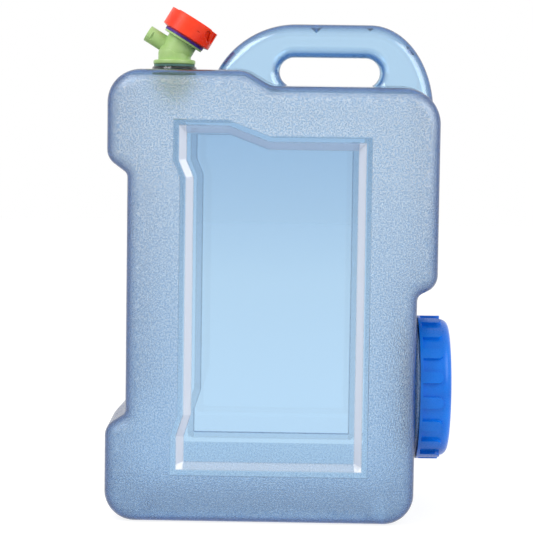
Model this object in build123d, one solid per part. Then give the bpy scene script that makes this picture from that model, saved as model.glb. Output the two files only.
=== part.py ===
from build123d import *
import os
from math import acos, cos, degrees, radians, sin

# Water can of about 15 litres: a blow-moulded body with a hollow handle, a wide filler neck
# on its right side with a screw cap, and a small valve on its top.
# Millimetres. X to the right, Y away from the viewer, Z up. The can stands on Z = 0.

# Can body, seen from the front
lower_width = 264.4  # from the plane of the side feet to the lower right side
foot_step = 17.2  # how far the side feet stand out from the left side
side_step = 17.0  # how far the upper right side stands out from the lower one
block_top = 384.7  # height of the top that carries the tap, on the middle plane
shelf_drop = 13.0  # how much lower the top under the handle is
shelf_slope = 22.0  # width of the slope between the two tops
shelf_start = 138.0  # from the plane of the feet to the low end of that slope
foot_height = 80.7  # height of the lower foot's outer corner
foot_slope = 11.5  # rise of the lower foot's slope
block_height = 75.5  # from the can's top down to the upper foot's outer corner
block_slope = 12.9  # drop of the upper foot's slope
step_height = 204.3  # height of the right step's outer corner
step_slope = 8.3  # drop of the right step's slope
base_corner = 26.0  # radii of the outline's corners
block_corner = 28.0
shoulder_corner = 31.0
crest_corner = 25.0
dip_corner = 20.0
foot_corner = 15.0
foot_root = 6.0
step_corner = 15.0
step_root = 8.0

# Can body, across
body_depth = 174.0
draft_drop = 4.5  # how much lower the top is at the front and back faces
edge_round = 14.0  # rounding of the front and back edges
wall = 2.0

# Recessed panel in the front and the back
panel_depth = 5.0
panel_bevel = 6.0
panel_left = 62.5  # from the plane of the feet to the panel's left edge
panel_right_margin = 46.3  # from the panel's right edge to the lower right side
panel_top_margin = 50.5  # from the can's top to the panel's top
panel_bottom = 45.9
panel_slope = 35.0  # width of the slope in its top edge
panel_waist = 5.9  # how far the left edge steps in between the feet
panel_foot = 28.3  # height of the wide part at the foot of the left edge
panel_foot_rise = 18.0
panel_head = 29.0  # height of the wide part at the head of the left edge
panel_head_drop = 14.4
panel_cut = 4.0  # cut corners at the panel's foot

# Push-up in the base
push_up = 3.0
push_up_margin = 30.0
push_up_bevel = 8.0
push_up_corner = 12.0

# Handle
handle_bar = 28.7  # height of the grip above the hole
handle_depth = 30.0
handle_round = 12.0
handle_left_radius = 78.7
handle_left_centre = 159.1  # from the plane of the feet
handle_right_sweep = 56.0  # width of the right end's elliptical sweep
handle_right_drop = 76.0  # and its height
handle_right_gap = 2.4  # how far the handle's end stays inside the right side
handle_root = 6.0  # how far the handle's hollow reaches under the shelf's wall
hand_hole_left = 144.3  # from the plane of the feet
hand_hole_right = 49.6  # from the hole's right end to the upper right side
hand_hole_height = 24.0
hand_hole_sink = 1.5  # the round hole runs this far under the shelf
hole_round = 12.0

# Scars that the mould's clamp leaves on the handle: two notches in its crest and a round dimple
notch_places = (175.8, 222.9)  # from the plane of the feet
notch_depths = (4.4, 2.2)
dimple_radius = 3.4
dimple_turn = 48.0  # place on the right sweep, in degrees above its end

# Filler neck and its cap
neck_height = 107.7
neck_outer = 110.0
neck_wall = 2.6
neck_length = 26.6
neck_bead = 123.0
neck_bead_start = 1.0
neck_bead_thick = 2.0
cap_outer = 120.0
cap_wall = 2.2
cap_plate = 2.5
cap_skirt = 22.6  # from the sealing rim back to the open edge of the cap
cap_end_round = 7.0
cap_rim_outer = 126.0
cap_rim_width = 2.4
lug_count = 18
lug_width = 10.0
lug_length = 20.0  # from the cap's open edge to the lug's round end
lug_turn = 5.2
lug_root = 2.0  # how deep a lug reaches into the cap's wall
seal_thick = 2.0
seal_width = 7.0
seal_clearance = 0.3

# Tap: place, boss and fixing
tap_left = 52.0  # from the plane of the feet to the tap's upright axis
boss_top_rise = 1.5  # above the can's top
boss_outer = 38.0
boss_base = 43.0
boss_wall = 2.5
boss_recess = 35.6
outer_gasket = 35.6
outer_gasket_thick = 1.9
tail_outer = 21.0
tail_bore = 16.0
tail_length = 32.0
hole_clearance = 0.4
ring_clearance = 0.2
inner_gasket = 34.0
inner_gasket_thick = 2.6
nut_outer = 39.0
nut_thick = 4.0
nut_grip_outer = 35.0
nut_height = 11.7
nut_ribs = 12
nut_rib_width = 4.0
thread_clearance = 0.1

# Tap: body
flange_outer = 36.7
flange_thick = 4.0
flange_round = 1.4
barrel_outer = 28.5
pivot_rise = 9.1  # from the flange's underside to the point where the two axes cross
valve_tilt = 31.5
chamber_outer = 27.2
chamber_bore = 20.0
chamber_top = 13.5
mouth_outer = 36.6
mouth_thick = 1.7
port_bore = 11.0
seat_level = -2.0
seat_height = 1.5
seat_land = 2.0
port_length = 12.0
spout_outer = 14.4
spout_bore = 10.0
spout_level = 3.16
spout_length = 29.4
mark_from_end = 5.0  # short groove across the spout's front
mark_length = 9.0
mark_width = 1.6
mark_depth = 1.2

# Tap: valve
bonnet_seal_outer = 37.5
bonnet_seal_thick = 2.2
bonnet_gap = 0.7  # left over the stem's head when the valve is fully open
bonnet_flange = 32.0
bonnet_flange_thick = 1.7
bonnet_neck = 15.0
bonnet_top = 25.0
fit_clearance = 0.05
stem_outer = 8.0
stem_head = 15.6
stem_head_thick = 3.0
washer_outer = 15.6
washer_thick = 3.0
washer_pin = 4.0
washer_pin_height = 1.8
washer_pin_gap = 0.2
o_ring_section = 1.8
o_ring_level = 12.0
o_ring_squeeze = 0.05
o_ring_play = 0.1
knob_outer = 45.6
knob_height = 16.8
knob_gap = 0.1
knob_wall = 2.5
knob_cone_height = 1.2
knob_cone_width = 4.0
knob_recess = 34.0
knob_disc = 33.6
knob_disc_rise = 1.0
knob_hub = 14.0
knob_socket_depth = 6.0
stem_flat = 6.0
grip_count = 12
grip_width = 5.4
grip_depth = 1.5
grip_length = 9.6
grip_turn = 7.0
valve_travel = 4.5  # lift of the valve between shut and fully open

# Helping lengths for the shapes that are joined or cut
overlap = 1.0
cut_reach = 20.0
trim = 0.1  # cut off the drafted body so that what it stands on is truly flat

# Places worked out from the sizes above
total_width = lower_width + neck_length + seal_thick + cap_plate
foot_x = -total_width / 2
left_x = foot_x + foot_step
right_x = foot_x + lower_width
upper_right_x = right_x + side_step
shelf_z = block_top - shelf_drop
front_y = -body_depth / 2
block_bottom = block_top - block_height
handle_rise = hand_hole_height + handle_bar
hand_hole_length = lower_width + side_step - hand_hole_left - hand_hole_right
rim_x = right_x + neck_length
cap_end_x = rim_x + seal_thick + cap_plate
tap_x = foot_x + tap_left
boss_top = block_top + boss_top_rise
flange_z = boss_top + outer_gasket_thick
pivot = Vector(tap_x, 0, flange_z + pivot_rise)
mouth_level = chamber_top + mouth_thick
bonnet_level = mouth_level + bonnet_seal_thick


def can_outline():
    """Closed outline of the can's body on the middle plane."""
    outer_x = foot_x - trim
    corners = [
        (outer_x, -trim, base_corner),
        (right_x, -trim, base_corner),
        (right_x, step_height - step_slope, step_root),
        (upper_right_x, step_height, step_corner),
        (upper_right_x, shelf_z, shoulder_corner),
        (foot_x + shelf_start, shelf_z, dip_corner),
        (foot_x + shelf_start - shelf_slope, block_top, crest_corner),
        (outer_x, block_top, block_corner),
        (outer_x, block_bottom, foot_corner),
        (left_x, block_bottom - block_slope, foot_root),
        (left_x, foot_height + foot_slope, foot_root),
        (outer_x, foot_height, foot_corner),
    ]
    points = [(x, z) for x, z, radius in corners]
    radii = [radius for x, z, radius in corners]
    return make_face(FilletPolyline(*points, radius=radii, close=True))


def upright(face, y):
    """Stands a flat face, drawn in X and Z, at the distance y."""
    return Plane((0, y, 0), x_dir=(1, 0, 0), z_dir=(0, -1, 0)) * face


def drafted_block(inset):
    """The can's body without its details, inset from its outside by a wall."""
    middle = can_outline()
    if inset > 0:
        middle = offset(middle, amount=-inset)
    reach = body_depth / 2 - inset
    shrink = 1 - draft_drop / block_top * reach / (body_depth / 2)
    corner = Location((foot_x, 0, 0))
    outer = corner * scale(corner.inverse() * middle, by=(shrink, shrink, 1))
    front = loft([upright(middle, 0), upright(outer, -reach)], ruled=True)
    front = fillet(front.faces().sort_by(Axis.Y)[0].edges(), edge_round - inset)
    room = Box(total_width, body_depth, block_top, align=Align.MIN)
    front = front & (Pos(foot_x + inset, -body_depth, inset) * room)
    return front + mirror(front, Plane.XZ)


def panel_outline(grow):
    """Outline of the recessed panel, moved outwards by grow."""
    left = foot_x + panel_left
    waist = left + panel_waist
    right = right_x - panel_right_margin
    top = block_top - panel_top_margin
    low_top = top - shelf_drop
    slope_x = foot_x + shelf_start
    points = [
        (left + panel_cut, panel_bottom),
        (right - panel_cut, panel_bottom),
        (right, panel_bottom + panel_cut),
        (right, low_top),
        (slope_x, low_top),
        (slope_x - panel_slope, top),
        (left, top),
        (left, top - panel_head),
        (waist, top - panel_head - panel_head_drop),
        (waist, panel_bottom + panel_foot + panel_foot_rise),
        (left, panel_bottom + panel_foot),
        (left, panel_bottom + panel_cut),
    ]
    face = make_face(Polyline(*points, close=True))
    return offset(face, amount=grow, kind=Kind.INTERSECTION)


def panel_pocket(inset):
    """Material that the two panels take away from a body inset by a wall."""
    bevel_length = (panel_depth**2 + panel_bevel**2) ** 0.5
    shift = inset * bevel_length / panel_depth
    rate = panel_bevel / panel_depth
    depth = panel_depth + inset
    outer = upright(panel_outline(shift + rate * overlap), front_y - overlap)
    inner = upright(panel_outline(shift - rate * depth), front_y + depth)
    front = loft([outer, inner], ruled=True)
    return front + mirror(front, Plane.XZ)


def base_push_up(inset):
    """Shallow hollow in the base, so that the can stands on a rim."""
    bevel_length = (push_up**2 + push_up_bevel**2) ** 0.5
    grow = 2 * inset * bevel_length / push_up
    width = lower_width - 2 * push_up_margin + grow
    depth = body_depth - 2 * push_up_margin + grow
    centre = Location((foot_x + lower_width / 2, 0, 0))
    rate = push_up_bevel / push_up
    flare = 2 * rate * overlap
    taper = 2 * rate * (push_up + inset)
    below = Plane.XY.offset(-overlap)
    above = Plane.XY.offset(push_up + inset)
    lower = below * RectangleRounded(width + flare, depth + flare, push_up_corner)
    upper = above * RectangleRounded(width - taper, depth - taper, push_up_corner)
    return centre * loft([lower, upper], ruled=True)


def handle_block(inset):
    """The handle's arch with its hand hole, inset by a wall."""
    top = shelf_z + handle_rise - inset
    left_radius = handle_left_radius - inset
    left_centre_x = foot_x + handle_left_centre
    left_centre_z = shelf_z + handle_rise - handle_left_radius
    foot_z = shelf_z - wall - handle_root
    left_sweep = degrees(acos((foot_z - left_centre_z) / left_radius))
    left_foot_x = left_centre_x - left_radius * sin(radians(left_sweep))
    right_centre_x = upper_right_x - handle_right_gap - handle_right_sweep
    right_reach = handle_right_sweep - inset
    right_centre_z = shelf_z + handle_rise - handle_right_drop
    crest_left = (left_centre_x, top)
    crest_right = (right_centre_x, top)
    right_centre = (right_centre_x, right_centre_z)
    right_rise = handle_right_drop - inset
    arch = [
        CenterArc((left_centre_x, left_centre_z), left_radius, 90, left_sweep),
        Line(crest_left, crest_right),
        EllipticalCenterArc(right_centre, right_reach, right_rise, arc_size=90),
    ]
    right_foot = (right_centre_x + right_reach, right_centre_z)
    left_low = (left_foot_x, right_centre_z)
    closing = Polyline(right_foot, left_low, (left_foot_x, foot_z))
    face = make_face(Curve() + arch + closing)
    bar_depth = handle_depth - 2 * inset
    bar = extrude(upright(face, bar_depth / 2), amount=bar_depth)
    rounding = handle_round - inset
    arch_edges = bar.edges().filter_by(
        lambda edge: abs(abs(edge.center().Y) - bar_depth / 2) < 0.01
        and edge.center().Z > right_centre_z + 1
        and edge.center().X > left_foot_x + 1
    )
    bar = fillet(arch_edges, rounding)
    hole_height = hand_hole_height + hand_hole_sink + 2 * inset
    hole_length = hand_hole_length + 2 * inset
    centre_x = foot_x + hand_hole_left + hand_hole_length / 2
    centre_z = shelf_z + (hand_hole_height - hand_hole_sink) / 2
    slot = SlotOverall(hole_length, hole_height)
    hole_face = upright(Pos(centre_x, centre_z) * slot, bar_depth / 2 + overlap)
    hole = extrude(hole_face, amount=bar_depth + 2 * overlap)
    bar = bar - hole
    hole_edges = bar.edges().filter_by(
        lambda edge: abs(abs(edge.center().Y) - bar_depth / 2) < 0.01
        and abs(edge.center().X - centre_x) <= hole_length / 2
        and abs(edge.center().Z - centre_z) <= hole_height / 2 + 0.01
    )
    return fillet(hole_edges, hole_round - inset) - handle_scars(inset)


def handle_scars(inset):
    """Shapes of the notches and the dimple, grown by a wall so that the hollow follows them."""
    crest_z = shelf_z + handle_rise
    scars = []
    for place, depth in zip(notch_places, notch_depths):
        tip = depth + inset * 2**0.5
        notch = Cone(0, tip + overlap, tip + overlap, align=(Align.CENTER, Align.CENTER, Align.MIN))
        scars.append(Pos(foot_x + place, 0, crest_z - tip) * notch)
    turn = radians(dimple_turn)
    dimple_x = upper_right_x - handle_right_gap - handle_right_sweep * (1 - cos(turn))
    dimple_z = crest_z - handle_right_drop * (1 - sin(turn))
    scars.append(Pos(dimple_x, 0, dimple_z) * Sphere(dimple_radius + inset))
    return scars


def along_x(x):
    """Workplane for round things on the filler's axis: its local Z points along +X."""
    return Plane((x, 0, neck_height), x_dir=(0, 1, 0), z_dir=(1, 0, 0))


def tube(plane, outer_diameter, length, bore=0.0):
    """A disc, rod or tube that grows from a plane along the plane's normal."""
    face = Circle(outer_diameter / 2)
    if bore > 0:
        face = face - Circle(bore / 2)
    return extrude(plane * face, amount=length)


def make_can_body():
    outside = drafted_block(0) - panel_pocket(0) - base_push_up(0)
    outside += handle_block(0)
    neck_root = along_x(right_x - edge_round)
    outside += tube(neck_root, neck_outer, neck_length + edge_round)
    outside += tube(along_x(right_x + neck_bead_start), neck_bead, neck_bead_thick)
    boss_height = boss_top_rise + draft_drop
    boss = Cone(
        boss_base / 2, boss_outer / 2, boss_height, align=(Align.CENTER, Align.CENTER, Align.MAX)
    )
    outside += Pos(tap_x, 0, boss_top) * boss

    inside = drafted_block(wall) - panel_pocket(wall) - base_push_up(wall)
    inside += handle_block(wall)
    neck_bore = neck_outer - 2 * neck_wall
    inside += tube(neck_root, neck_bore, neck_length + edge_round + overlap)
    recess_height = boss_height + wall
    recess = Cylinder(
        boss_recess / 2, recess_height, align=(Align.CENTER, Align.CENTER, Align.MAX)
    )
    inside += Pos(tap_x, 0, boss_top - boss_wall) * recess

    body = outside - inside
    hole = Cylinder(tail_outer / 2 + hole_clearance, cut_reach)
    return body - Pos(tap_x, 0, boss_top) * hole


def make_filler_cap():
    edge_x = rim_x - cap_skirt
    length = cap_end_x - edge_x
    cap = tube(along_x(edge_x), cap_outer, length)
    cap = fillet(cap.faces().sort_by(Axis.X)[-1].edges(), cap_end_round)
    cap += tube(along_x(edge_x), cap_rim_outer, cap_rim_width)
    straight = lug_length - lug_width / 2
    lug_face = Pos(straight / 2, 0) * Rectangle(straight, lug_width)
    lug_face += Pos(straight, 0) * Circle(lug_width / 2)
    lug_inner = cap_outer / 2 - lug_root
    radial = Plane((edge_x, -lug_inner, neck_height), x_dir=(1, 0, 0), z_dir=(0, -1, 0))
    lug = extrude(radial * lug_face, amount=cap_rim_outer / 2 - lug_inner)
    lug = lug & tube(along_x(edge_x), cap_rim_outer, length)
    axis = Axis((0, 0, neck_height), (1, 0, 0))
    for index in range(lug_count):
        cap += lug.rotate(axis, lug_turn + index * 360 / lug_count)
    cap -= tube(along_x(edge_x), cap_outer - 2 * cap_wall, length - cap_plate)
    return cap


def make_filler_cap_seal():
    outer = cap_outer - 2 * cap_wall - 2 * seal_clearance
    return tube(along_x(rim_x), outer, seal_thick, outer - 2 * seal_width)


def valve_plane(level):
    """Workplane square to the valve's tilted axis, at a distance from the pivot."""
    tilt = radians(valve_tilt)
    axis = Vector(sin(tilt), 0, cos(tilt))
    across = Vector(cos(tilt), 0, -sin(tilt))
    return Plane(pivot + axis * level, x_dir=across, z_dir=axis)


def spout_plane(distance):
    """Workplane square to the spout, at a distance from the valve's axis."""
    base = valve_plane(spout_level)
    return Plane(base.origin - base.x_dir * distance, x_dir=base.z_dir, z_dir=-base.x_dir)


def make_tap_body():
    flange_plane = Plane((tap_x, 0, flange_z))
    tail_plane = Plane((tap_x, 0, flange_z - tail_length))
    flange = tube(flange_plane, flange_outer, flange_thick)
    solid = fillet(flange.edges(), flange_round)
    solid += tube(tail_plane, tail_outer, tail_length + overlap)
    solid += tube(flange_plane, barrel_outer, pivot_rise)
    span = 2 * barrel_outer
    half = Box(span, span, span, align=(Align.CENTER, Align.CENTER, Align.MAX))
    knuckle = Pos(pivot) * Sphere(barrel_outer / 2)
    solid += (knuckle & (valve_plane(overlap) * half)) - flange_plane * half
    chamber = tube(valve_plane(seat_level), chamber_outer, chamber_top - seat_level)
    solid += chamber + tube(valve_plane(chamber_top), mouth_outer, mouth_thick)
    solid += tube(spout_plane(0), spout_outer, spout_length)

    solid -= tube(tail_plane, tail_bore, tail_length + flange_thick)
    seat_foot = seat_level - seat_height
    moat = tube(valve_plane(seat_foot), chamber_bore, seat_height, port_bore + 2 * seat_land)
    solid -= tube(valve_plane(seat_level), chamber_bore, mouth_level - seat_level) + moat
    solid -= tube(valve_plane(seat_level - port_length), port_bore, port_length)
    solid -= tube(spout_plane(0), spout_bore, spout_length)
    mark_end = spout_plane(spout_length - mark_from_end)
    front = Plane(mark_end.origin, x_dir=mark_end.x_dir, z_dir=(0, -1, 0))
    mark = Box(mark_length, mark_width, spout_outer, align=(Align.CENTER, Align.CENTER, Align.MIN))
    return solid - front * Pos(0, 0, spout_outer / 2 - mark_depth) * mark


def make_tap_outer_gasket():
    ring_bore = tail_outer + 2 * ring_clearance
    return tube(Plane((tap_x, 0, boss_top)), outer_gasket, outer_gasket_thick, ring_bore)


def make_tap_inner_gasket():
    top = boss_top - boss_wall
    plane = Plane((tap_x, 0, top - inner_gasket_thick))
    return tube(plane, inner_gasket, inner_gasket_thick, tail_outer + 2 * ring_clearance)


def make_tap_lock_nut():
    top = boss_top - boss_wall - inner_gasket_thick
    flange = tube(Plane((tap_x, 0, top - nut_thick)), nut_outer, nut_thick)
    grip_plane = Plane((tap_x, 0, top - nut_height))
    nut = flange + tube(grip_plane, nut_grip_outer, nut_height - nut_thick)
    rib = Box(
        nut_rib_width,
        nut_rib_width,
        nut_height - nut_thick,
        align=(Align.CENTER, Align.CENTER, Align.MIN),
    )
    ring = tube(grip_plane, nut_outer, nut_height)
    for turn in PolarLocations(nut_grip_outer / 2, nut_ribs):
        nut += (grip_plane.location * turn * rib) & ring
    return nut - tube(grip_plane, tail_outer + 2 * thread_clearance, nut_height)


def make_bonnet_seal():
    ring_bore = chamber_bore + 2 * ring_clearance
    return tube(valve_plane(mouth_level), bonnet_seal_outer, bonnet_seal_thick, ring_bore)


def make_tap_bonnet():
    head_top = seat_level + washer_thick + stem_head_thick
    plug_foot = head_top + valve_travel + bonnet_gap
    plug_outer = chamber_bore - 2 * fit_clearance
    bonnet = tube(valve_plane(plug_foot), plug_outer, bonnet_level - plug_foot)
    bonnet += tube(valve_plane(bonnet_level), bonnet_flange, bonnet_flange_thick)
    bonnet += tube(valve_plane(bonnet_level), bonnet_neck, bonnet_top - bonnet_level)
    bore = stem_outer + 2 * fit_clearance
    return bonnet - tube(valve_plane(plug_foot), bore, bonnet_top - plug_foot)


def make_tap_stem():
    head_level = seat_level + washer_thick
    shaft_level = head_level + stem_head_thick
    knob_top = bonnet_level + knob_gap + knob_height
    socket_level = knob_top - knob_wall - knob_socket_depth
    end_level = knob_top - knob_wall
    stem = tube(valve_plane(head_level), stem_head, stem_head_thick)
    stem += tube(valve_plane(shaft_level), stem_outer, socket_level - shaft_level)
    square = valve_plane(socket_level) * (Rectangle(stem_flat, stem_flat) & Circle(stem_outer / 2))
    stem += extrude(square, amount=end_level - socket_level)
    groove_inner = stem_outer - 2 * (o_ring_section - o_ring_play)
    groove_width = o_ring_section + 2 * o_ring_play
    stem -= tube(valve_plane(o_ring_level), stem_outer + overlap, groove_width, groove_inner)
    hole_depth = washer_pin_height + washer_pin_gap
    return stem - tube(valve_plane(head_level), washer_pin + 2 * fit_clearance, hole_depth)


def make_stem_o_ring():
    middle = (stem_outer - o_ring_section) / 2 + o_ring_squeeze
    plane = valve_plane(o_ring_level + o_ring_section / 2 + o_ring_play)
    return plane * Torus(middle, o_ring_section / 2 - o_ring_squeeze)


def make_valve_washer():
    washer = tube(valve_plane(seat_level), washer_outer, washer_thick)
    return washer + tube(valve_plane(seat_level + washer_thick), washer_pin, washer_pin_height)


def make_tap_knob():
    foot = bonnet_level + knob_gap
    knob = tube(valve_plane(foot + knob_cone_height), knob_outer, knob_height - knob_cone_height)
    cone_foot = knob_outer / 2 - knob_cone_width
    cone = Cone(
        cone_foot, knob_outer / 2, knob_cone_height, align=(Align.CENTER, Align.CENTER, Align.MIN)
    )
    knob += valve_plane(foot) * cone
    top_plane = valve_plane(foot + knob_height)
    knob += tube(top_plane, knob_disc, knob_disc_rise)
    inner_height = knob_height - knob_wall
    knob -= tube(valve_plane(foot), knob_recess, inner_height)
    socket_level = foot + inner_height - knob_socket_depth
    knob += tube(valve_plane(socket_level), knob_hub, knob_socket_depth)
    square = valve_plane(socket_level) * (Rectangle(stem_flat, stem_flat) & Circle(stem_outer / 2))
    knob -= extrude(square, amount=knob_socket_depth)
    slot_length = grip_length + grip_width / 2
    slot = Pos(grip_width / 2 - slot_length / 2, 0) * SlotOverall(slot_length, grip_width)
    for index in range(grip_count):
        angle = grip_turn - 90 + index * 360 / grip_count
        turned = top_plane.rotated((0, 0, angle))
        side = Plane(
            turned.origin + turned.x_dir * (knob_outer / 2 - grip_depth),
            x_dir=turned.z_dir,
            z_dir=turned.x_dir,
        )
        knob -= extrude(side * slot, amount=grip_depth + overlap)
    return knob


makers = {
    "can_body": make_can_body,
    "filler_cap": make_filler_cap,
    "filler_cap_seal": make_filler_cap_seal,
    "tap_body": make_tap_body,
    "tap_outer_gasket": make_tap_outer_gasket,
    "tap_inner_gasket": make_tap_inner_gasket,
    "tap_lock_nut": make_tap_lock_nut,
    "bonnet_seal": make_bonnet_seal,
    "tap_bonnet": make_tap_bonnet,
    "tap_stem": make_tap_stem,
    "stem_o_ring": make_stem_o_ring,
    "valve_washer": make_valve_washer,
    "tap_knob": make_tap_knob,
}

os.makedirs("parts", exist_ok=True)
for name, maker in makers.items():
    piece = maker()
    export_step(piece, f"parts/{name}.step")
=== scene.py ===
import bpy
import math
from mathutils import Matrix, Vector


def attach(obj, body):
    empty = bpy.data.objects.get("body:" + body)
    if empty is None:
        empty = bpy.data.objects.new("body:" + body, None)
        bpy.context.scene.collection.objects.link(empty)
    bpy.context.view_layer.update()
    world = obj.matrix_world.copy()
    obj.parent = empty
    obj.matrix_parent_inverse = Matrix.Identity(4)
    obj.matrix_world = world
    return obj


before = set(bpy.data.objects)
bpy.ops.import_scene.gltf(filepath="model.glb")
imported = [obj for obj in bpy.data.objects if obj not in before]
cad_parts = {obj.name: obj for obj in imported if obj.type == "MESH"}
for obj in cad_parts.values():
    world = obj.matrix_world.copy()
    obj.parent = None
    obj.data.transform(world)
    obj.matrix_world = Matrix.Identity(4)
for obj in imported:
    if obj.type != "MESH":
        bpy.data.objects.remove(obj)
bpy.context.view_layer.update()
mm = 0.001
print("frame loaded")

# The photographer's stand: eye a little above the middle of the can, long lens, slight roll
view = {
    "eye": (10.65, -1550.5, 314.6),
    "turnLeft": 0.86,
    "lookDown": 3.78,
    "roll": 0.8,
    "lens": 119.0,
    "sensor": 36,
    "reach": (0.05, 50),  # nearest and farthest thing seen, in metres
}


def addCamera():
    yaw = math.radians(view["turnLeft"])
    pitch = math.radians(view["lookDown"])
    roll = math.radians(view["roll"])
    level = math.cos(pitch)
    ahead = Vector((-math.sin(yaw) * level, math.cos(yaw) * level, -math.sin(pitch)))
    aside = ahead.cross(Vector((0, 0, 1))).normalized()
    upward = aside.cross(ahead)
    right = aside * math.cos(roll) + upward * math.sin(roll)
    top = upward * math.cos(roll) - aside * math.sin(roll)
    data = bpy.data.cameras.new("camera")
    data.lens = view["lens"]
    data.sensor_width = view["sensor"]
    data.clip_start, data.clip_end = view["reach"]
    camera = bpy.data.objects.new("camera", data)
    turn = Matrix((right, top, -ahead)).transposed().to_4x4()
    camera.matrix_world = Matrix.Translation(Vector(view["eye"]) * mm) @ turn
    bpy.context.scene.collection.objects.link(camera)
    bpy.context.scene.camera = camera


addCamera()
bpy.context.scene.view_settings.view_transform = "Standard"
print("camera set")


def toLinear(hexColour):
    parts = [int(hexColour[i:i + 2], 16) / 255 for i in (1, 3, 5)]
    return [c / 12.92 if c <= 0.04045 else ((c + 0.055) / 1.055) ** 2.4 for c in parts] + [1.0]


def addNode(tree, kind, links=None, **settings):
    node = tree.nodes.new("ShaderNode" + kind)
    for name, value in settings.items():
        setattr(node, name, value)
    for socket, value in (links or {}).items():
        if isinstance(value, bpy.types.Node):
            value = value.outputs[0]
        if isinstance(value, bpy.types.NodeSocket):
            tree.links.new(value, node.inputs[socket])
        else:
            node.inputs[socket].default_value = value
    return node


def newMaterial(name):
    material = bpy.data.materials.new(name)
    material.use_nodes = True
    material.node_tree.nodes.clear()
    return material, material.node_tree


# Solid mouldings: a cloud of two close shades, and a fine grain that moves gloss and relief together.
# Cloud, grain and relief are in millimetres.
looks = {
    # Cold blue with a soft gloss, as the screw cap's injection moulding has
    "filler_cap": {
        "name": "mouldedPolypropyleneBlue", "dark": "#0060c4", "light": "#0273dd",
        "roughness": 0.28, "cloud": 40, "grain": 0.8, "relief": 0.003, "ior": 1.36, "glow": 0.05,
    },
    # Dull apple green, a little waxy
    "tap_body": {
        "name": "mouldedAcetalGreen", "dark": "#9cc072", "light": "#aaca82",
        "roughness": 0.35, "cloud": 14, "grain": 0.6, "relief": 0.003, "ior": 1.48, "glow": 0.08,
    },
    # Signal red with a satin skin
    "tap_knob": {
        "name": "mouldedAbsRed", "dark": "#ee2f0a", "light": "#f63c12",
        "roughness": 0.33, "cloud": 14, "grain": 0.6, "relief": 0.003, "ior": 1.42, "glow": 0.04,
    },
    # Matt violet ring
    "bonnet_seal": {
        "name": "pressedSiliconeViolet", "dark": "#46268a", "light": "#5634a0",
        "roughness": 0.5, "cloud": 8, "grain": 0.4, "relief": 0.004, "ior": 1.41, "glow": 0.05,
    },
    # Matt grey-green rubber
    "tap_outer_gasket": {
        "name": "pressedRubberGreyGreen", "dark": "#43695f", "light": "#527d74",
        "roughness": 0.55, "cloud": 8, "grain": 0.4, "relief": 0.006, "ior": 1.5, "glow": 0.0,
    },
    # Milky soft ring
    "filler_cap_seal": {
        "name": "pressedSiliconeMilky", "dark": "#dcdedb", "light": "#eceeeb",
        "roughness": 0.5, "cloud": 20, "grain": 0.5, "relief": 0.004, "ior": 1.41, "glow": 0.1,
    },
    # Plain white insert
    "tap_bonnet": {
        "name": "mouldedAcetalWhite", "dark": "#dedede", "light": "#ededed",
        "roughness": 0.4, "cloud": 10, "grain": 0.5, "relief": 0.004, "ior": 1.48, "glow": 0.05,
    },
}
sharedLooks = {
    "tap_lock_nut": "tap_body",
    "tap_inner_gasket": "tap_outer_gasket",
    "tap_stem": "tap_bonnet",
    "stem_o_ring": "tap_outer_gasket",
    "valve_washer": "tap_outer_gasket",
}
moulding = {
    "cloudBand": (0.35, 0.65),
    "grainBand": (0.3, 0.7),
    "roughSpread": 0.05,
    "edgeRound": 0.35,
    "glowReach": (0.002, 0.002, 0.002),
}
bevelSamples = 4


def plainMaterial(look):
    material, tree = newMaterial(look["name"])
    place = addNode(tree, "TexCoord").outputs["Object"]
    cloud = addNode(tree, "TexNoise", {"Vector": place, "Scale": 1 / (look["cloud"] * mm), "Detail": 3.0})
    grain = addNode(tree, "TexNoise", {"Vector": place, "Scale": 1 / (look["grain"] * mm), "Detail": 2.0})
    low, high = moulding["cloudBand"]
    cloud = addNode(tree, "MapRange", {"Value": cloud, "From Min": low, "From Max": high})
    shades = {0: cloud, 6: toLinear(look["dark"]), 7: toLinear(look["light"])}
    colour = addNode(tree, "Mix", shades, data_type="RGBA")
    low, high = moulding["grainBand"]
    rough = addNode(tree, "MapRange", {
        "Value": grain,
        "From Min": low,
        "From Max": high,
        "To Min": look["roughness"] - moulding["roughSpread"],
        "To Max": look["roughness"] + moulding["roughSpread"],
    })
    rounded = addNode(tree, "Bevel", {"Radius": moulding["edgeRound"] * mm}, samples=bevelSamples)
    relief = {"Height": grain, "Strength": 1.0, "Distance": look["relief"] * mm, "Normal": rounded}
    shader = addNode(tree, "BsdfPrincipled", {
        "Base Color": colour.outputs[2],
        "Roughness": rough,
        "IOR": look["ior"],
        "Normal": addNode(tree, "Bump", relief),
        "Subsurface Weight": look["glow"],
        "Subsurface Radius": moulding["glowReach"],
    })
    addNode(tree, "OutputMaterial", {"Surface": shader})
    return material


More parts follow.
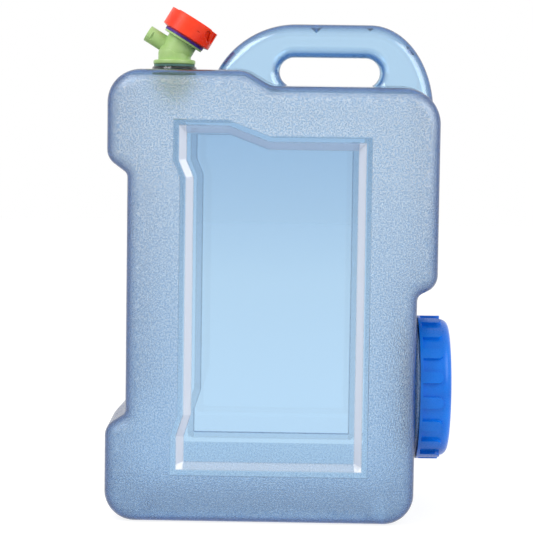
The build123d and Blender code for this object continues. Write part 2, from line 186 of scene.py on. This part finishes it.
# The can: clear walls that are blue by their thickness, with a grain beside the panels and below the top.
# Places and sizes are in millimetres in the shared frame.
can = {
    "ior": 1.585,
    "wallColour": "#96d2f0",
    "wallDensity": 300.0,
    "clearRoughness": 0.02,
    "panelTopShade": "#e9eff6",  # painted shade that the upper end of the panels turns to
    "panelShadeFade": (200.0, 330.0),
    "grainRoughness": 0.2,
    "grainSize": 1.3,
    "grainHeight": 0.5,
    "grainDark": "#a8c3de",
    "grainLight": "#ffffff",
    "grainBand": (0.35, 0.65),
    "grainClear": (0.92, 0.72),  # at the base and high up
    "grainBorder": 0.4,
    # Painted shade: the frost is darker and bluer at the base and white high up
    "frostBaseShade": "#ecf3fb",
    "frostTop": "#ffffff",
    "frostShadeFade": (0.0, 300.0),
    # Painted shade: dark blue where the outer wall turns away from the lens
    "grazingShadeColour": "#335f9f",
    "grazingShadeFacing": (0.05, 0.5),
    "edgeRound": 1.5,
    # Painted highlight: whitened panel bevels, stronger on the front
    "bevelHighlightColour": "#ffffff",
    "bevelHighlightShare": (0.75, 0.2),  # painted highlight share on the front and on the back
    "rimHighlightShare": 0.35,
    "bevelWidth": 6.0,
    "bevelBorder": 0.5,
    "margin": 5.0,
    "panelLeft": -85.25,
    "panelWaist": 5.9,
    "panelRight": 70.35,
    "panelFoot": 45.9,
    "panelTop": 334.2,
    "panelTopDrop": 13.0,
    "panelBehind": 75.0,  # only what lies further out than this can be a panel
    "footKink": (74.2, 92.2),
    "blockKink": (290.8, 305.2),
    "topSlope": (-44.75, -9.75),
    "shelfSlope": (-31.75, -9.75),
    "grainTop": (375.3, 362.3),
    "seamWidth": 0.4,
    "seamHeight": 0.2,
    "middle": 175.0,  # height of the point that an outside face looks away from
    "flatten": 0.2,  # how little height counts in that
}


def panelReach(tree, x, y, z):
    low, high = can["footKink"]
    step = addNode(tree, "MapRange", {"Value": z, "From Min": low, "From Max": high})
    low, high = can["blockKink"]
    back = {"Value": z, "From Min": low, "From Max": high, "To Min": 1.0, "To Max": 0.0}
    back = addNode(tree, "MapRange", back)
    waist = addNode(tree, "Math", {0: step, 1: back}, operation="MULTIPLY")
    shift = {0: waist, 1: can["panelWaist"], 2: can["panelLeft"] - can["margin"]}
    left = addNode(tree, "Math", shift, operation="MULTIPLY_ADD")
    low, high = can["topSlope"]
    level = can["panelTop"] + can["margin"]
    slope = {"Value": x, "From Min": low, "From Max": high, "To Min": level,
             "To Max": level - can["panelTopDrop"]}
    top = addNode(tree, "MapRange", slope)
    depth = addNode(tree, "Math", {0: y}, operation="ABSOLUTE")
    pairs = [
        (x, left),
        (can["panelRight"] + can["margin"], x),
        (z, can["panelFoot"] - can["margin"]),
        (top, z),
        (depth, can["panelBehind"]),
    ]
    reach = [addNode(tree, "Math", {0: a, 1: b}, operation="SUBTRACT") for a, b in pairs]
    sides = addNode(tree, "Math", {0: reach[0], 1: reach[1]}, operation="MINIMUM")
    ends = addNode(tree, "Math", {0: reach[2], 1: reach[3]}, operation="MINIMUM")
    flat = addNode(tree, "Math", {0: sides, 1: ends}, operation="MINIMUM")
    inside = addNode(tree, "Math", {0: flat, 1: reach[4]}, operation="MINIMUM")
    return inside, flat, sides


def outsideMask(tree, place):
    geometry = addNode(tree, "NewGeometry")
    facing = addNode(tree, "Math", {0: geometry.outputs["Backfacing"], 1: -2.0, 2: 1.0},
                     operation="MULTIPLY_ADD")
    centre = can["middle"] * can["flatten"] * mm
    middle = addNode(tree, "VectorMath", {0: place, 1: (1.0, 1.0, can["flatten"])}, operation="MULTIPLY")
    middle = addNode(tree, "VectorMath", {0: middle, 1: (0, 0, centre)}, operation="SUBTRACT")
    outward = addNode(tree, "VectorMath", {0: geometry.outputs["True Normal"], 1: middle},
                      operation="DOT_PRODUCT")
    turned = addNode(tree, "Math", {0: outward.outputs["Value"], 1: facing}, operation="MULTIPLY")
    return addNode(tree, "Math", {0: turned, 1: 0.0}, operation="GREATER_THAN")


# Painted highlight: how much of the panel's bevel ring is whitened, full on the upright sides, less on the
# rim, more on the front than the back
def paintedBevelHighlight(tree, inside, flat, sides, y, outside):
    soft = can["bevelBorder"]
    start = can["margin"]
    end = start + can["bevelWidth"]
    within = addNode(tree, "MapRange", {"Value": inside, "From Min": start - soft, "From Max": start + soft})
    ends = {"From Min": end - soft, "From Max": end + soft, "To Max": 0.0}
    rim = addNode(tree, "MapRange", {"Value": flat, "To Min": can["rimHighlightShare"], **ends})
    upright = addNode(tree, "MapRange", {"Value": sides, "To Min": 1.0, **ends})
    ring = addNode(tree, "Math", {0: rim, 1: upright}, operation="MAXIMUM")
    ring = addNode(tree, "Math", {0: within, 1: ring}, operation="MULTIPLY")
    ring = addNode(tree, "Math", {0: ring, 1: outside}, operation="MULTIPLY")
    front, back = can["bevelHighlightShare"]
    share = {"Value": y, "From Min": -1.0, "From Max": 1.0, "To Min": front, "To Max": back}
    return addNode(tree, "Math", {0: ring, 1: addNode(tree, "MapRange", share)}, operation="MULTIPLY")


def canMaterial():
    material, tree = newMaterial("blowMouldedPolycarbonate")
    place = addNode(tree, "TexCoord").outputs["Object"]
    size = addNode(tree, "VectorMath", {0: place, "Scale": 1 / mm}, operation="SCALE")
    x, y, z = addNode(tree, "SeparateXYZ", {0: size}).outputs

    # Where the grain lies: below the clear top and beside the panels
    low, high = can["shelfSlope"]
    lowTop, highTop = can["grainTop"]
    border = {"Value": x, "From Min": low, "From Max": high, "To Min": lowTop, "To Max": highTop}
    border = addNode(tree, "Math", {0: addNode(tree, "MapRange", border), 1: z}, operation="SUBTRACT")
    soft = {"From Min": -can["grainBorder"], "From Max": can["grainBorder"]}
    below = addNode(tree, "MapRange", {"Value": border, **soft})
    inside, flat, sides = panelReach(tree, x, y, z)
    panel = addNode(tree, "MapRange", {"Value": inside, **soft}, interpolation_type="SMOOTHSTEP")
    outside = outsideMask(tree, place)
    beside = addNode(tree, "Math", {0: 1.0, 1: panel}, operation="SUBTRACT")
    grained = addNode(tree, "Math", {0: below, 1: beside}, operation="MULTIPLY")
    grained = addNode(tree, "Math", {0: grained, 1: outside}, operation="MULTIPLY")
    # Painted highlight on the panel's bevels
    paintedHighlight = paintedBevelHighlight(tree, inside, flat, sides, y, outside)

    # Relief: pebbles, and the seam of the mould on the middle plane
    grain = {"Vector": place, "Scale": 1 / (can["grainSize"] * mm), "Detail": 1.5}
    grain = addNode(tree, "TexNoise", grain)
    pebbles = addNode(tree, "Math", {0: grain, 1: grained}, operation="MULTIPLY")
    depth = addNode(tree, "Math", {0: y}, operation="ABSOLUTE")
    seam = {"Value": depth, "From Min": 0.0, "From Max": can["seamWidth"], "To Min": can["seamHeight"],
            "To Max": 0.0}
    seam = addNode(tree, "MapRange", seam, interpolation_type="SMOOTHSTEP")
    height = addNode(tree, "Math", {0: pebbles, 1: can["grainHeight"], 2: seam}, operation="MULTIPLY_ADD")
    rounded = addNode(tree, "Bevel", {"Radius": can["edgeRound"] * mm}, samples=bevelSamples)
    bump = addNode(tree, "Bump", {"Height": height, "Strength": 1.0, "Distance": mm, "Normal": rounded})

    # Colour: specked grain, painted shade that darkens the panels upwards and the frost towards the base,
    # painted highlights on the bevels, and painted shade in blue where the wall turns away
    low, high = can["grainBand"]
    specks = addNode(tree, "MapRange", {"Value": grain, "From Min": low, "From Max": high})
    # Painted shade: the frost darkens towards the base; the same height ramp also sets how cloudy the grain
    # is
    low, high = can["frostShadeFade"]
    rise = addNode(tree, "MapRange", {"Value": z, "From Min": low, "From Max": high})
    # Painted shade: the panels turn greyer towards their upper end
    low, high = can["panelShadeFade"]
    upperPanelShade = addNode(tree, "MapRange", {"Value": z, "From Min": low, "From Max": high})
    upperPanelShade = addNode(tree, "Math", {0: upperPanelShade, 1: panel}, operation="MULTIPLY")
    # Painted shade: the outer wall turns dark blue as it faces away from the lens, standing in for
    # absorption at grazing angles
    low, high = can["grazingShadeFacing"]
    turned = addNode(tree, "LayerWeight", {"Blend": 0.5}).outputs["Facing"]
    edgeShade = addNode(tree, "MapRange", {"Value": turned, "From Min": low, "From Max": high})
    edgeShade = addNode(tree, "Math", {0: edgeShade, 1: outside}, operation="MULTIPLY")
    speck = {0: specks, 6: toLinear(can["grainDark"]), 7: toLinear(can["grainLight"])}
    speck = addNode(tree, "Mix", speck, data_type="RGBA")
    frost = {0: rise, 6: toLinear(can["frostBaseShade"]), 7: toLinear(can["frostTop"])}
    frost = addNode(tree, "Mix", frost, data_type="RGBA")
    frost = {0: 1.0, 6: frost.outputs[2], 7: speck.outputs[2]}
    frost = addNode(tree, "Mix", frost, data_type="RGBA", blend_type="MULTIPLY")
    clear = {0: upperPanelShade, 6: toLinear("#ffffff"), 7: toLinear(can["panelTopShade"])}
    colour = addNode(tree, "Mix", clear, data_type="RGBA").outputs[2]
    layers = [
        (grained, frost.outputs[2]),
        (paintedHighlight, toLinear(can["bevelHighlightColour"])),
        (edgeShade, toLinear(can["grazingShadeColour"])),
    ]
    for share, layer in layers:
        colour = addNode(tree, "Mix", {0: share, 6: colour, 7: layer}, data_type="RGBA").outputs[2]

    lowClear, highClear = can["grainClear"]
    cloudy = addNode(tree, "MapRange", {"Value": rise, "To Min": 1 - lowClear, "To Max": 1 - highClear})
    cloudy = addNode(tree, "Math", {0: grained, 1: cloudy}, operation="MULTIPLY")
    # The painted bevel highlight also takes away transmission
    cloudy = addNode(tree, "Math", {0: cloudy, 1: paintedHighlight}, operation="MAXIMUM")
    clearness = addNode(tree, "Math", {0: 1.0, 1: cloudy}, operation="SUBTRACT")
    gloss = {"Value": grained, "To Min": can["clearRoughness"], "To Max": can["grainRoughness"]}
    shader = addNode(tree, "BsdfPrincipled", {
        "Base Color": colour,
        "Roughness": addNode(tree, "MapRange", gloss),
        "IOR": can["ior"],
        "Normal": bump,
        "Transmission Weight": clearness,
    })
    wall = {"Color": toLinear(can["wallColour"]), "Density": can["wallDensity"]}
    volume = addNode(tree, "VolumeAbsorption", wall)
    addNode(tree, "OutputMaterial", {"Surface": shader, "Volume": volume})
    return material


made = {name: plainMaterial(look) for name, look in looks.items()}
made["can_body"] = canMaterial()
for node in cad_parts:
    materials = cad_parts[node].data.materials
    materials.clear()
    materials.append(made[sharedLooks.get(node, node)])
print("materials made")

# Coarse screw threads of the neck and its cap, which share one pitch and stand half a turn apart
threadForm = {
    "pitch": 8.0,
    "base": 3.4,
    "tip": 1.4,
    "axisHeight": 107.7,
    "steps": 96,  # in one turn
    "runOut": 8,  # each end rises to full height in one part of so many of a turn
    "least": 0.03,
}
threads = {
    "neckThread": {
        "body": "can", "look": "can_body", "slot": "clear_can",
        "root": 54.9, "crest": 57.2, "start": 121.5, "turns": 1.6, "phase": 0.0,
    },
    "capThread": {
        "body": "cap", "look": "filler_cap", "slot": "blue_cap",
        "root": 57.9, "crest": 55.5, "start": 122.5, "turns": 1.5, "phase": 180.0,
    },
}


def addThread(name, thread):
    steps = threadForm["steps"]
    count = int(steps * thread["turns"])
    base = threadForm["base"] / 2
    tip = threadForm["tip"] / 2
    root = thread["root"]
    points = []
    for index in range(count + 1):
        turn = index / steps
        rise = min(1.0, threadForm["runOut"] * turn, threadForm["runOut"] * (thread["turns"] - turn))
        crest = root + (thread["crest"] - root) * max(threadForm["least"], rise)
        angle = math.radians(thread["phase"]) + 2 * math.pi * turn
        along = thread["start"] + threadForm["pitch"] * turn
        for offset, radius in ((-base, root), (-tip, crest), (tip, crest), (base, root)):
            height = threadForm["axisHeight"] + radius * math.sin(angle)
            points.append(Vector((along + offset, radius * math.cos(angle), height)) * mm)
    faces = [(0, 1, 2, 3), (4 * count + 3, 4 * count + 2, 4 * count + 1, 4 * count)]
    for index in range(count):
        first = 4 * index
        for side in range(4):
            other = (side + 1) % 4
            faces.append((first + side, first + 4 + side, first + 4 + other, first + other))
    mesh = bpy.data.meshes.new(name)
    mesh.from_pydata(points, [], faces)
    mesh.materials.append(made[thread["look"]])
    piece = bpy.data.objects.new(name, mesh)
    bpy.context.scene.collection.objects.link(piece)
    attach(piece, thread["body"])


for name, thread in threads.items():
    addThread(name, thread)
print("threads cut")

# A pale sweep of paper under two softboxes. What the lens sees of paper and sky is white by itself.
studio = {
    "worldLight": 0.75,
    "skyColour": "#ffffff",
    "floorColour": "#f4f4f4",
    "floorWhite": 1.15,
    "floorShare": 0.73,
    "floorHalf": 6000,
    "aim": (0, 0, 200),
    "lamps": [
        {"name": "keySoftbox", "at": (-900, -900, 1500), "size": 900, "power": 14},
        {"name": "fillSoftbox", "at": (1100, -700, 900), "size": 900, "power": 9},
    ],
}


def seenByLens(tree):
    path = addNode(tree, "LightPath").outputs
    seen = {0: path["Is Camera Ray"], 1: path["Is Glossy Ray"]}
    seen = addNode(tree, "Math", seen, operation="MAXIMUM")
    return addNode(tree, "Math", {0: seen, 1: path["Is Transmission Ray"]}, operation="MAXIMUM")


def addSky():
    world = bpy.data.worlds.new("studio")
    world.use_nodes = True
    tree = world.node_tree
    tree.nodes.clear()
    white = toLinear(studio["skyColour"])
    lit = addNode(tree, "Background", {"Color": white, "Strength": studio["worldLight"]})
    shown = addNode(tree, "Background", {"Color": white, "Strength": 1.0})
    both = addNode(tree, "MixShader", {0: seenByLens(tree), 1: lit, 2: shown})
    addNode(tree, "OutputWorld", {"Surface": both})
    bpy.context.scene.world = world


def addFloor():
    material, tree = newMaterial("paperSweep")
    diffuse = addNode(tree, "BsdfDiffuse", {"Color": toLinear(studio["floorColour"])})
    white = toLinear(studio["skyColour"])
    glow = addNode(tree, "Emission", {"Color": white, "Strength": studio["floorWhite"]})
    share = addNode(tree, "Math", {0: seenByLens(tree), 1: studio["floorShare"]}, operation="MULTIPLY")
    mixed = addNode(tree, "MixShader", {0: share, 1: diffuse, 2: glow})
    addNode(tree, "OutputMaterial", {"Surface": mixed})
    half = studio["floorHalf"] * mm
    corners = [(-half, -half, 0), (half, -half, 0), (half, half, 0), (-half, half, 0)]
    mesh = bpy.data.meshes.new("floor")
    mesh.from_pydata(corners, [], [(0, 1, 2, 3)])
    mesh.materials.append(material)
    floor = bpy.data.objects.new("floor", mesh)
    bpy.context.scene.collection.objects.link(floor)


def addLamp(lamp):
    data = bpy.data.lights.new(lamp["name"], "AREA")
    data.size = lamp["size"] * mm
    data.energy = lamp["power"]
    light = bpy.data.objects.new(lamp["name"], data)
    light.location = Vector(lamp["at"]) * mm
    toAim = Vector(studio["aim"]) * mm - light.location
    light.rotation_euler = toAim.to_track_quat("-Z", "Y").to_euler()
    bpy.context.scene.collection.objects.link(light)


addSky()
addFloor()
for lamp in studio["lamps"]:
    addLamp(lamp)
print("studio lit")
